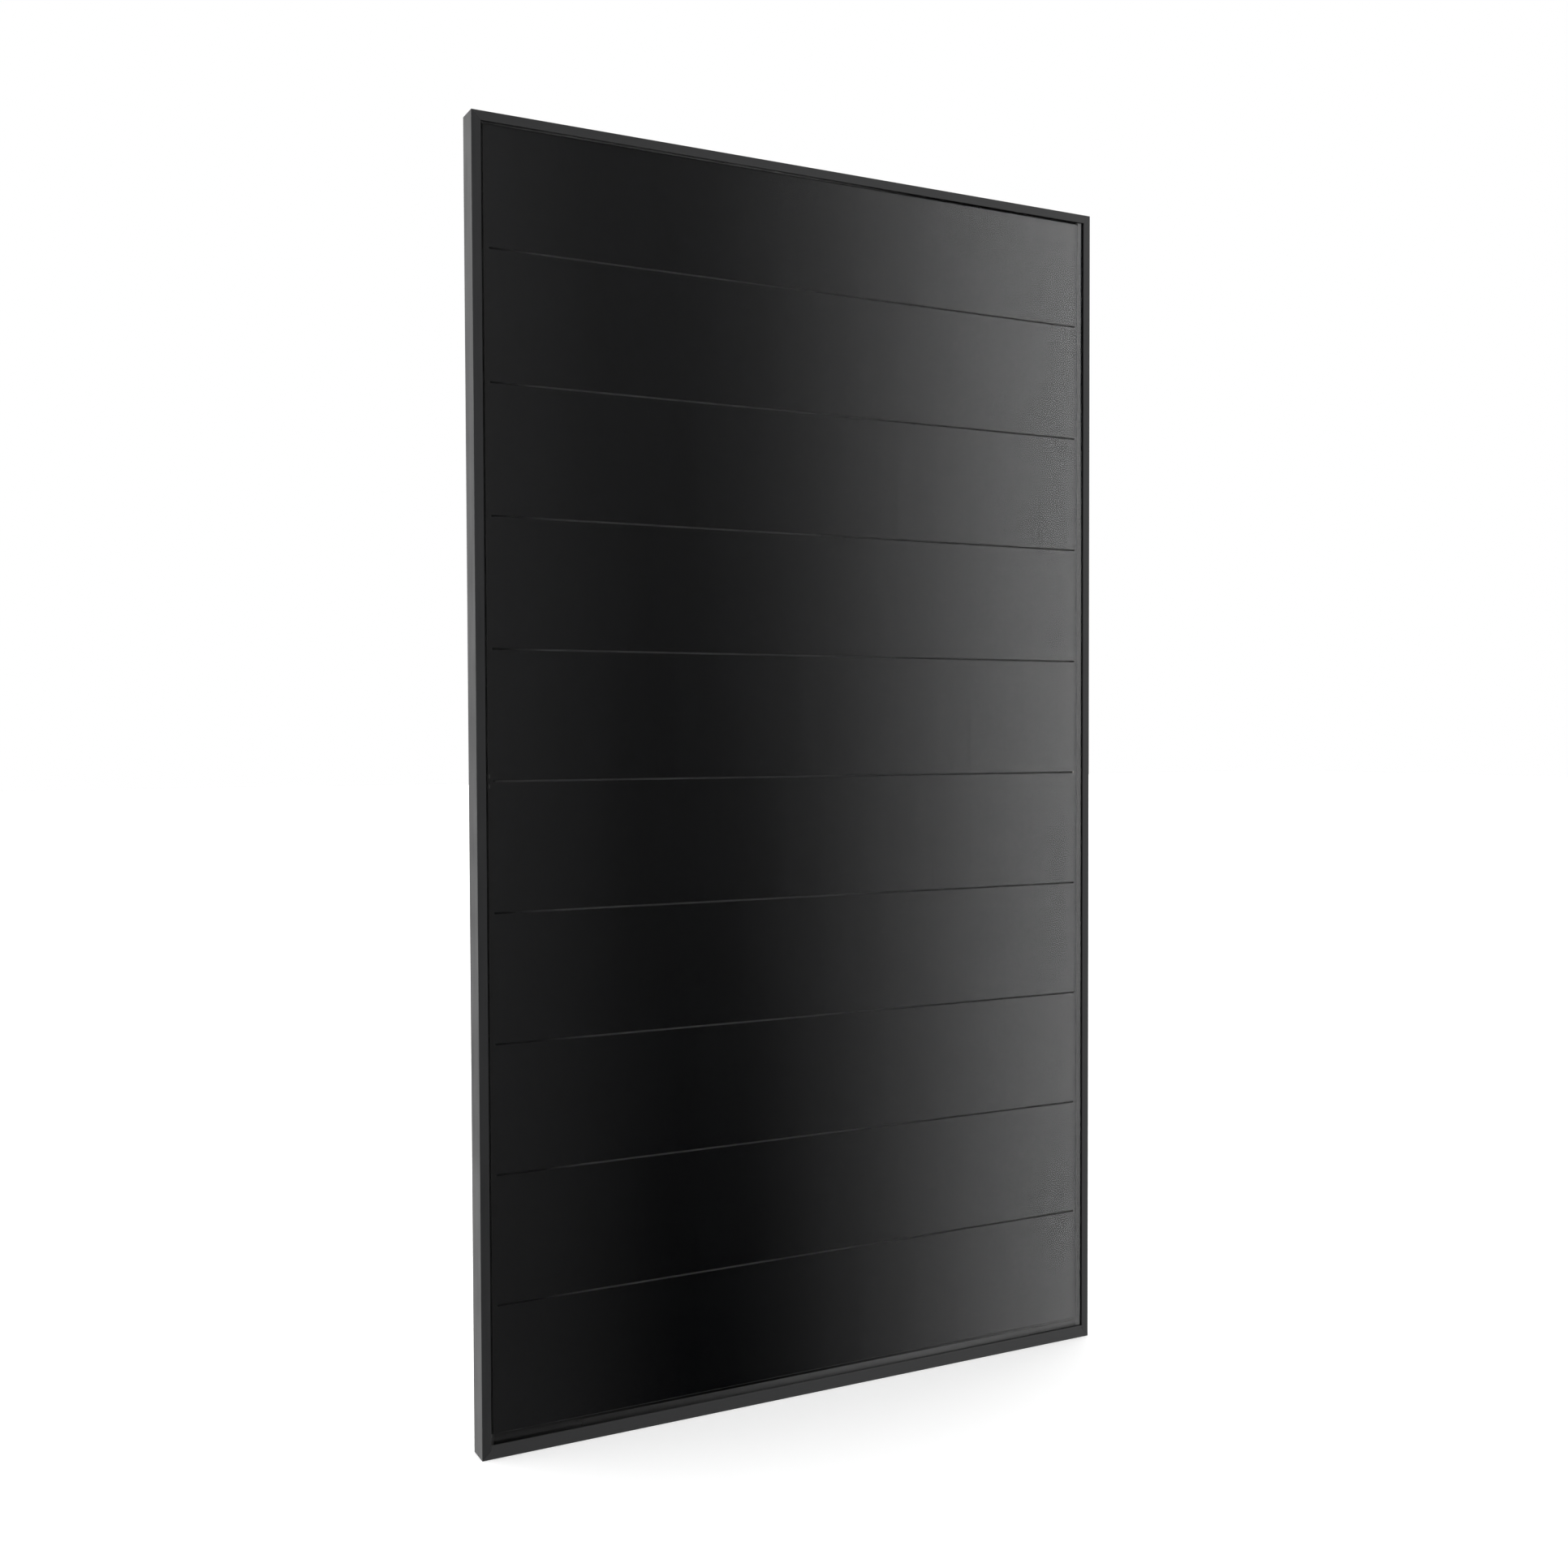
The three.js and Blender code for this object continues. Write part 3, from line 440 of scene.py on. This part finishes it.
def rear_sheet():
    """Black encapsulant: matt between the strings and under the glass's border, else wetting the glass. Its
    matt tone carries painted shade and painted light.
    """
    material, t = new_material("rear_encapsulant_black")
    x, _, z = t.place()
    low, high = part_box("cell_string_10")[0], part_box("cell_string_01")[1]
    bottom = t.below(z, low.z - SHEET_BELOW_GAP)
    left, right = t.below(x, low.x), t.above(x, high.x)
    # Under the glass's painted sheen the sheet turns matt by the same share, which adds painted light there
    under_border = t.times(t.below(z, SHEET_MATT_BOTTOM), lower_border_sheen(t, x))
    within = t.times(t.below(x, SHEET_MATT_RIGHT), t.above(x, low.x - SHEET_LEFT_REACH))
    around = t.times(t.most(bottom, left, right), within)
    glossy = t.times(around, t.minus(1.0, under_border))
    cloud = t.noise(13, 3, 0.6)
    # Painted shade up to a slanting line near the strings' left ends, painted light from there on and below
    # the strings, and painted shade again above the strings on the right
    lit = t.spread(t.minus(x, t.spread(z, *SHEET_LIT_LINE)), *SHEET_LIT_FADE)
    lit = t.most(lit, t.below(z, low.z))
    shaded = t.times(t.above(z, high.z), t.spread(x, *SHEET_SHADE_FADE))
    dull = t.minus(lit, shaded, clamp=True)
    # Painted light below the strings, strongest in the middle
    pale = t.times(t.spread(x, *SHEET_PAINTED_LIGHT_RISE), t.spread(x, *SHEET_PAINTED_LIGHT_FALL))
    pale = t.times(t.below(z, low.z), pale)
    # The matt tone is near black in the painted shade and greyer in the painted light
    tone = t.mix(dull, grey(0.001), t.mix(cloud, grey(0.026), grey(0.036)))
    tone = t.mix(t.times(pale, SHEET_PAINTED_LIGHT_SHARE), tone, grey(0.14))
    matt = principled(t, Base_Color=tone, Roughness=0.6, IOR=IOR_MATT)
    wet_tone = t.mix(cloud, grey(0.0014), grey(0.0024))
    wet = principled(t, Base_Color=wet_tone, Roughness=0.105, IOR=IOR_CELL)
    both = t.add("ShaderNodeMixShader", {0: glossy, 1: matt, 2: wet})
    finish_material(t, both.outputs[0])
    return material


def moulded():
    """Glass-filled black plastic with a spark-eroded skin, a little polished on its edges, which are lighter
    from wear and from a painted highlight.
    """
    material, t = new_material("moulded_plastic")
    eroded = t.noise(2600, 2, 0.6)
    cloud = t.noise(40, 3, 0.6)
    # Edges lighter and glossier: part wear, part a painted highlight
    worn = t.edge(0.6 * MM, 0.88, 0.995)
    tone = t.mix(cloud, grey(0.01105), grey(0.02295))
    tone = t.mix(t.times(worn, 0.6), tone, grey(0.06))
    rough = t.minus(t.vary(cloud, 0.42, 0.50), t.times(worn, 0.12))
    normal = t.bump(eroded, 0.35, 0.05 * MM)
    finish_material(t, principled(t, Base_Color=tone, Roughness=rough, Normal=normal, IOR=IOR_COMMON))
    return material


def tinned():
    """Tinned copper of the lead ribbons and the terminals: drawn along X, with dull blooms."""
    material, t = new_material("tinned_copper_bright")
    drawn = t.noise(700, 3, 0.6, (0.05, 1, 1))
    bloom = t.noise(160, 4, 0.65)
    tone = t.mix(t.spread(bloom, 0.35, 0.75), (0.70, 0.67, 0.62, 1), (0.50, 0.47, 0.43, 1))
    rough = t.plus(t.vary(drawn, 0.24, 0.34), t.spread(bloom, 0.35, 0.75, 0, 0.14))
    normal = t.bump(drawn, 0.2, 0.04 * MM)
    finish_material(t, principled(t, Base_Color=tone, Metallic=1.0, Roughness=rough, Normal=normal))
    return material


def raw_aluminium():
    """Sawn aluminium of the corner keys, with its saw lines along Y."""
    material, t = new_material("sawn_aluminium")
    lines = t.noise(1200, 3, 0.6, (1, 0.02, 1))
    bloom = t.noise(120, 3, 0.6)
    tone = t.mix(bloom, grey(0.55), grey(0.68))
    rough = t.vary(lines, 0.34, 0.5)
    normal = t.bump(lines, 0.3, 0.1 * MM)
    finish_material(t, principled(t, Base_Color=tone, Metallic=1.0, Roughness=rough, Normal=normal))
    return material


def backsheet_film():
    """Black backsheet: satin film with orange peel, drawn over the strings, ribbons and strip inside."""
    material, t = new_material("backsheet_film")
    x, _, z = t.place()

    def over(node, fall):
        """1 where the film lies over a node, down to 0 over the distance fall outside it."""
        low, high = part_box(node)
        beside = t.minus(t.away(x, (low.x + high.x) / 2), (high.x - low.x) / 2)
        beyond = t.minus(t.away(z, (low.z + high.z) / 2), (high.z - low.z) / 2)
        return t.spread(t.most(beside, beyond), 0.0, fall, 1.0, 0.0, kind="SMOOTHSTEP")

    peel = t.noise(420, 3, 0.55)
    cloud = t.noise(5, 4, 0.6)
    drift = t.noise(38, 3, 0.55)
    relief = t.most(*[over(name, FILM_FALL_STRING) for name in nodes_named("cell_string")])
    relief = t.plus(relief, t.times(over("lead_insulator", FILM_FALL_RIBBON), FILM_RISE_STRIP))
    for name in nodes_named("bus_ribbon", "lead_ribbon"):
        relief = t.plus(relief, t.times(over(name, FILM_FALL_RIBBON), FILM_RISE_RIBBON))
    tone = t.mix(cloud, (0.0045, 0.0046, 0.0051, 1), (0.0075, 0.0076, 0.0082, 1))
    rough = t.plus(t.vary(cloud, 0.21, 0.28), t.vary(peel, -0.02, 0.02))
    normal = t.bump(peel, 0.25, 0.07 * MM)
    normal = t.bump(relief, 1.0, 0.25 * MM, normal)
    normal = t.bump(drift, 0.3, 0.6 * MM, normal)
    finish_material(t, principled(t, Base_Color=tone, Roughness=rough, Normal=normal, IOR=IOR_COMMON))
    return material


def silicone():
    """Black silicone of the seals and the adhesive bead, slightly rippled."""
    material, t = new_material("black_silicone_bead")
    ripple = t.noise(160, 3, 0.6)
    tone = t.mix(ripple, grey(0.009), grey(0.014))
    rough = t.vary(ripple, 0.36, 0.48)
    normal = t.bump(ripple, 0.5, 0.2 * MM)
    finish_material(t, principled(t, Base_Color=tone, Roughness=rough, Normal=normal, IOR=IOR_SILICONE))
    return material


def label_film():
    """A blank printed form: silver film with thin rules and no lettering."""
    material, t = new_material("label_form")
    x, _, z = t.place()
    low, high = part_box("rating_label")
    left, right = t.minus(x, low.x), t.minus(high.x, x)
    down, up = t.minus(z, low.z), t.minus(high.z, z)
    side = t.math("MINIMUM", t.math("MINIMUM", left, right), t.math("MINIMUM", down, up))
    border = t.below(t.away(side, LABEL_INSET), LABEL_RULE / 2)
    inside = t.above(side, LABEL_INSET)
    rows = t.math("PINGPONG", t.minus(up, LABEL_INSET), LABEL_ROW)
    row_rule = t.below(rows, LABEL_RULE / 2)
    column_rule = t.below(t.away(left, LABEL_COLUMN), LABEL_RULE / 2)
    ink = t.most(t.times(inside, t.most(row_rule, column_rule)), border)
    film = t.mix(t.noise(30, 3, 0.6), (0.52, 0.53, 0.54, 1), (0.60, 0.61, 0.62, 1))
    tone = t.mix(t.times(ink, 0.9), film, grey(0.03))
    rough = t.vary(t.noise(220, 2, 0.5), 0.36, 0.46)
    normal = t.bump(t.noise(900, 2, 0.5), 0.15, 0.03 * MM)
    finish_material(t, principled(t, Base_Color=tone, Roughness=rough, Normal=normal, IOR=IOR_COMMON))
    return material


def epoxy():
    """Moulded diode body with a plain pale band on its cathode end."""
    material, t = new_material("diode_body")
    z = t.place()[2]
    band = t.above(z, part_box("bypass_diode_1")[1].z - DIODE_BAND)
    grain = t.noise(3000, 2, 0.6)
    tone = t.mix(grain, grey(0.010), grey(0.018))
    tone = t.mix(t.times(band, 0.8), tone, grey(0.42))
    rough = t.vary(grain, 0.34, 0.44)
    normal = t.bump(grain, 0.3, 0.03 * MM)
    finish_material(t, principled(t, Base_Color=tone, Roughness=rough, Normal=normal, IOR=IOR_EPOXY))
    return material


# ---------------------------------------------------------------- geometry helpers


def paint(material, *names):
    for name in names:
        NODES[name].material_slots[0].material = material


def soften(name, width, merge_flats=True):
    """Welds a faceted CAD node for display and rounds its edges. Its own mesh stays as it is."""
    node = NODES[name]
    weld = node.modifiers.new("weld", "WELD")
    weld.merge_threshold = WELD_REACH
    if merge_flats:
        flat = node.modifiers.new("dissolve", "DECIMATE")
        flat.decimate_type = "DISSOLVE"
        flat.angle_limit = FLAT_ANGLE
    bevel = node.modifiers.new("bevel", "BEVEL")
    bevel.width = width
    bevel.segments = SOFT_SEGMENTS
    bevel.limit_method = "ANGLE"
    bevel.angle_limit = SOFT_ANGLE
    bevel.use_clamp_overlap = True
    bevel.harden_normals = True


def new_piece(name, mesh_builder, materials, body, slot, *replaced):
    """A piece of our own that rides on a body and stands in for CAD nodes."""
    mesh = bpy.data.meshes.new(name)
    work = bmesh.new()
    mesh_builder(work)
    bmesh.ops.recalc_face_normals(work, faces=work.faces)
    work.to_mesh(mesh)
    work.free()
    piece = bpy.data.objects.new(name, mesh)
    bpy.context.scene.collection.objects.link(piece)
    for material in materials:
        mesh.materials.append(material)
    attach(piece, body)
    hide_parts(*replaced)


def skin(work, rings, closed=False):
    """Faces between rings of vertices: a closed tube, or a body with both ends capped."""
    count = len(rings[0])
    pairs = list(zip(rings, rings[1:]))
    if closed:
        pairs.append((rings[-1], rings[0]))
    else:
        work.faces.new(rings[0])
        work.faces.new(rings[-1])
    for near, far in pairs:
        for k in range(count):
            work.faces.new((near[k], near[(k + 1) % count], far[(k + 1) % count], far[k]))


def build_glass():
    """The front glass with clipped corners and a ground arris round both faces."""
    low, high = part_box("front_glass")
    corner = GLASS_CORNER

    def ring(work, y, inset):
        x0, x1 = low.x + inset, high.x - inset
        z0, z1 = low.z + inset, high.z - inset
        outline = [(x0 + corner, z0), (x1 - corner, z0), (x1, z0 + corner), (x1, z1 - corner),
                   (x1 - corner, z1), (x0 + corner, z1), (x0, z1 - corner), (x0, z0 + corner)]
        return [work.verts.new((x, y, z)) for x, z in outline]

    def build(work):
        rings = [ring(work, y, inset) for y, inset in (
            (low.y, GLASS_ARRIS), (low.y + GLASS_ARRIS, 0), (high.y - GLASS_ARRIS, 0), (high.y, GLASS_ARRIS),
        )]
        skin(work, rings)
        for face in work.faces:
            front = all(vertex in rings[0] for vertex in face.verts)
            face.material_index = 0 if front else 1

    materials = [glass_front(), clear_layer("solar_glass_bonded", grey(0.99))]
    new_piece("front_glass_sheet", build, materials, "panel", "solar_glass", "front_glass")


def rounded_ring(work, centre, width, height, radius, y, grip=0.0):
    """Vertices round a rounded rectangle at one depth; grip draws in the middle of its two sides."""
    ring = []
    for k, (side, up) in enumerate(((1, 1), (-1, 1), (-1, -1), (1, -1))):
        middle_x, middle_z = side * (width / 2 - radius), up * (height / 2 - radius)
        for step in range(CORNER_STEPS + 1):
            turn = math.radians(90) * (k + step / CORNER_STEPS)
            x, z = middle_x + radius * math.cos(turn), middle_z + radius * math.sin(turn)
            ring.append(work.verts.new((centre[0] + x, y, centre[1] + z)))
        # The left side follows the second corner, downwards, and the right side the last one, upwards
        if k in (1, 3):
            deepest = GRIP_HALF - GRIP_RAMP
            for z, drawn in ((GRIP_HALF, 0), (deepest, grip), (-deepest, grip), (-GRIP_HALF, 0)):
                x = side * (width / 2 - drawn)
                ring.append(work.verts.new((centre[0] + x, y, centre[1] + up * z)))
    return ring


def rib_ring(work, spot, length, width, y):
    """Vertices round a bar with round ends, long in X."""
    ring = []
    for end, start in ((1, -90), (-1, 90)):
        for step in range(RIB_STEPS + 1):
            turn = math.radians(start + 180 * step / RIB_STEPS)
            x = end * (length - width) / 2 + width / 2 * math.cos(turn)
            ring.append(work.verts.new((spot[0] + x, y, spot[1] + width / 2 * math.sin(turn))))
    return ring


def build_lid(plastic):
    """The junction box's lid: soft edges, grip hollows at its sides, a raised panel with ribs, a plug."""
    low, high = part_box("junction_box_lid")
    centre = ((low.x + high.x) / 2, (low.z + high.z) / 2)
    width, height = high.x - low.x, high.z - low.z
    plate_front, plate_back = low.y + LID_PLUG, high.y - LID_STEP
    field_back = high.y - LID_RIB

    # Inset from the lid's edge, depth, and how far the grip hollows are drawn in
    profile = [
        # Inside and outside of the plug
        (LID_PLUG_INNER, plate_front, 0),
        (LID_PLUG_INNER, low.y + LID_SOFT, 0),
        (LID_PLUG_INNER - LID_SOFT, low.y, 0),
        (LID_PLUG_OUTER + LID_SOFT, low.y, 0),
        (LID_PLUG_OUTER, low.y + LID_SOFT, 0),
        (LID_PLUG_OUTER, plate_front, 0),
        # Edge of the plate, with the hollows low on it
        (LID_SOFT, plate_front, GRIP_DEPTH - LID_SOFT),
        (0, plate_front + LID_SOFT, GRIP_DEPTH),
        (0, plate_front + 1 * MM, GRIP_DEPTH),
        (0, plate_front + 1.2 * MM, 0),
        (0.1 * MM, plate_back - 0.5 * MM, 0),
        (0.25 * MM, plate_back - 0.2 * MM, 0),
        (0.6 * MM, plate_back, 0),
        # Raised panel
        (7.4 * MM, plate_back, 0),
        (7.9 * MM, field_back - 0.15 * MM, 0),
        (8.2 * MM, field_back, 0),
    ]
    frame_width, frame_height = width - 2 * RIB_FRAME_SIDE, height - 2 * RIB_FRAME_END
    sunk, crest = field_back - RIB_SUNK, high.y - RIB_SOFT
    outer = [(0, sunk), (0, crest), (RIB_SOFT, high.y)]
    inner = [(RIB_FRAME_WIDTH - RIB_SOFT, high.y), (RIB_FRAME_WIDTH, crest), (RIB_FRAME_WIDTH, sunk)]

    def build(work):
        skin(work, [
            rounded_ring(work, centre, width - 2 * inset, height - 2 * inset,
                         max(LID_CORNER - inset, LID_SHARPEST), y, grip)
            for inset, y, grip in profile
        ])
        skin(work, [
            rounded_ring(work, centre, frame_width - 2 * inset, frame_height - 2 * inset,
                         RIB_FRAME_CORNER - inset, y)
            for inset, y in outer + inner
        ], closed=True)
        for side in (-1, 1):
            for row in SHORT_RIB_ROWS:
                spot = (centre[0] + side * (width / 2 - SHORT_RIB_SIDE), centre[1] + row * SHORT_RIB_PITCH)
                skin(work, [
                    rib_ring(work, spot, SHORT_RIB_LENGTH - 2 * inset, SHORT_RIB_WIDTH - 2 * inset, y)
                    for inset, y in outer
                ])

    new_piece("moulded_lid", build, [plastic], "junction_box_cover",
              "junction_box_plastic", "junction_box_lid")


def build_gland(name, plastic):
    """A cable gland: a six-sided nut under a fluted, domed cap, and a neck through the box's wall."""
    low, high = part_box(f"cable_gland_{name}")
    x, y = (low.x + high.x) / 2, (low.y + high.y) / 2
    flats = (high.y - low.y) / 2
    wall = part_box("junction_box_base")[0].z

    def ring(work, z, radius, six_sided=0.0, flute=0.0):
        """Vertices round the gland: a circle, a hexagon with turned-down corners, or between the two."""
        verts = []
        for k in range(GLAND_STEPS):
            turn = 2 * math.pi * k / GLAND_STEPS
            off = (turn + math.pi / 6) % (math.pi / 3) - math.pi / 6
            edge = flats / math.cos(math.pi / 6 - abs(off))
            wide = radius * (1 - six_sided) + min(edge, flats * GLAND_CORNER) * six_sided
            if k % GLAND_FLUTE_EVERY == GLAND_FLUTE_EVERY // 2:
                wide -= flute
            verts.append(work.verts.new((x + wide * math.cos(turn), y + wide * math.sin(turn), z)))
        return verts

    def build(work):
        outside = [
            ring(work, wall - down * MM, flats - inset * MM, six_sided, flute)
            for down, inset, six_sided, flute in GLAND_PROFILE
        ]
        mouth = [ring(work, low.z, GLAND_BORE + 0.4 * MM), ring(work, low.z + 0.3 * MM, GLAND_BORE)]
        neck = [ring(work, high.z, GLAND_BORE), ring(work, high.z, GLAND_NECK), ring(work, wall, GLAND_NECK)]
        skin(work, outside + mouth + neck, closed=True)

    new_piece(f"gland_{name}", build, [plastic], "panel",
              "junction_box_plastic", f"cable_gland_{name}")


# ---------------------------------------------------------------- light, floor, camera


def build_world():
    """A room that is lit by compass angle at eye level, and is plain white where the camera sees it."""
    world = bpy.data.worlds.new("studio")
    bpy.context.scene.world = world
    world.use_nodes = True
    t = Tree(world.node_tree)

    def light(value):
        return grey(value / WORLD_STRENGTH)

    x, y, z = t.add("ShaderNodeSeparateXYZ", {0: t.add("ShaderNodeTexCoord").outputs["Generated"]}).outputs
    height = t.math("ARCSINE", z)
    angle = t.math("ARCTAN2", x, t.times(y, -1.0))
    angle = t.math("MULTIPLY_ADD", height, ROOM_DRIFT, angle)
    ramp = t.add("ShaderNodeValToRGB", {"Fac": t.spread(angle, -math.pi, math.pi)})
    stops = ramp.color_ramp
    stops.interpolation = "LINEAR"
    while len(stops.elements) < len(ROOM_BY_ANGLE):
        stops.elements.new(0.5)
    for element, (degrees, value) in zip(stops.elements, ROOM_BY_ANGLE):
        element.position = (degrees + 180) / 360
        element.color = light(value)
    haze = t.spread(height, -ROOM_HAZE_REACH, ROOM_HAZE_REACH, 0.0, ROOM_HAZE / WORLD_STRENGTH)
    around = t.plus(ramp.outputs["Color"], haze)
    steep = t.math("ABSOLUTE", height)
    rise = t.spread(steep, *ROOM_HIGH_FADE, kind="SMOOTHSTEP")
    overhead = t.spread(steep, *ROOM_TOP_FADE, kind="SMOOTHSTEP")
    front = t.spread(y, *ROOM_FRONT_FADE, 1.0, 0.0)
    rear = t.mix(t.above(z, 0.0), light(ROOM_REAR_LOW), light(ROOM_REAR_HIGH))
    high = t.mix(front, rear, light(ROOM_HIGH))
    room = t.mix(rise, around, high)
    room = t.mix(t.times(overhead, front), room, light(ROOM_TOP))
    lit = t.add("ShaderNodeBackground", {"Color": room, "Strength": WORLD_STRENGTH})
    seen = t.add("ShaderNodeBackground", {"Color": WHITE, "Strength": 1.0})
    camera_ray = t.add("ShaderNodeLightPath").outputs["Is Camera Ray"]
    both = t.add("ShaderNodeMixShader", {0: camera_ray, 1: lit.outputs[0], 2: seen.outputs[0]})
    t.add("ShaderNodeOutputWorld", {"Surface": both.outputs[0]})


def build_floor():
    """A plain pale floor, which glossy surfaces don't mirror."""
    mesh = bpy.data.meshes.new("floor")
    work = bmesh.new()
    bmesh.ops.create_grid(work, x_segments=FLOOR_CELLS, y_segments=FLOOR_CELLS, size=FLOOR_REACH)
    work.to_mesh(mesh)
    work.free()
    floor = bpy.data.objects.new("floor", mesh)
    bpy.context.scene.collection.objects.link(floor)
    floor.location.z = cad_low.z - FLOOR_DROP
    floor.visible_glossy = False
    material, t = new_material("pale_floor")
    tone = t.mix(t.noise(1.2, 3, 0.6), grey(0.80), grey(0.83))
    shader = principled(t, Base_Color=tone, Roughness=0.9, Emission_Color=WHITE, Emission_Strength=0.3)
    finish_material(t, shader)
    mesh.materials.append(material)


def build_camera():
    """The camera, turned from +Y by its heading, then its pitch and its roll."""
    data = bpy.data.cameras.new("camera")
    camera = bpy.data.objects.new("camera", data)
    bpy.context.scene.collection.objects.link(camera)
    data.sensor_width = SENSOR_WIDTH
    data.lens = CAMERA_LENS
    data.clip_start = CAMERA_NEAR
    data.clip_end = CAMERA_FAR
    heading, pitch, roll = CAMERA_HEADING, CAMERA_PITCH, CAMERA_ROLL
    forward = Vector((math.sin(heading), math.cos(heading), 0))
    ahead = math.cos(pitch) * forward + Vector((0, 0, math.sin(pitch)))
    level = Vector((math.cos(heading), -math.sin(heading), 0))
    right = math.cos(roll) * level + math.sin(roll) * level.cross(ahead)
    up = right.cross(ahead)
    turn = Matrix((right, up, -ahead)).transposed()
    camera.matrix_world = Matrix.Translation(CAMERA_PLACE) @ turn.to_4x4()
    bpy.context.scene.camera = camera


# ---------------------------------------------------------------- the scene

scene = bpy.context.scene
scene.view_settings.view_transform = "Standard"
scene.view_settings.look = "None"

build_camera()
build_world()
build_floor()

# Frame
# The upright rails mirror a little less than the level ones: painted shade, set by their lower index
upright = anodised("anodised_upright", grain=(0, 0, 1), roughness=0.35, drawn=0.85, ior=IOR_UPRIGHT_SHADED)
level = anodised("anodised_level", grain=(1, 0, 0), roughness=0.55, drawn=0.5, ior=IOR_COMMON)
paint(upright, "frame_rail_left", "frame_rail_right")
paint(level, "frame_rail_top", "frame_rail_bottom")
for side in ("left", "right", "top", "bottom"):
    soften(f"frame_rail_{side}", SOFT_RAIL)
paint(raw_aluminium(), *nodes_named("corner_key"))
paint(silicone(), *nodes_named("channel_seal"), "junction_box_adhesive")

# Laminate
build_glass()
paint(clear_layer("clear_encapsulant", grey(0.985)), "front_encapsulant")
paint(silicon(), *nodes_named("cell_string"))
paint(rear_sheet(), "rear_encapsulant")
coat = matt_black("black_ribbon_coat", base=0.0014, roughness=0.12, ior=IOR_CELL,
                  grain_scale=900, depth=0.01 * MM)
paint(coat, *nodes_named("bus_ribbon"))
insulator = matt_black("insulating_film", base=0.029, roughness=0.6, ior=IOR_MATT,
                       grain_scale=2500, depth=0.03 * MM)
paint(insulator, "lead_insulator")
paint(backsheet_film(), "backsheet")
paint(label_film(), "rating_label")

# Junction box
plastic = moulded()
paint(plastic, "junction_box_base", "junction_box_lid", *nodes_named("cable_gland"))
soften("junction_box_base", SOFT_BOX, merge_flats=False)
build_lid(plastic)
build_gland("positive", plastic)
build_gland("negative", plastic)
rubber = matt_black("rubber", base=0.011, roughness=0.55, ior=IOR_COMMON,
                    grain_scale=1500, depth=0.04 * MM)
paint(rubber, *nodes_named("gland_seal"), "junction_box_lid_seal")
paint(tinned(), *nodes_named("lead_ribbon", "terminal"))
paint(epoxy(), *nodes_named("bypass_diode"))
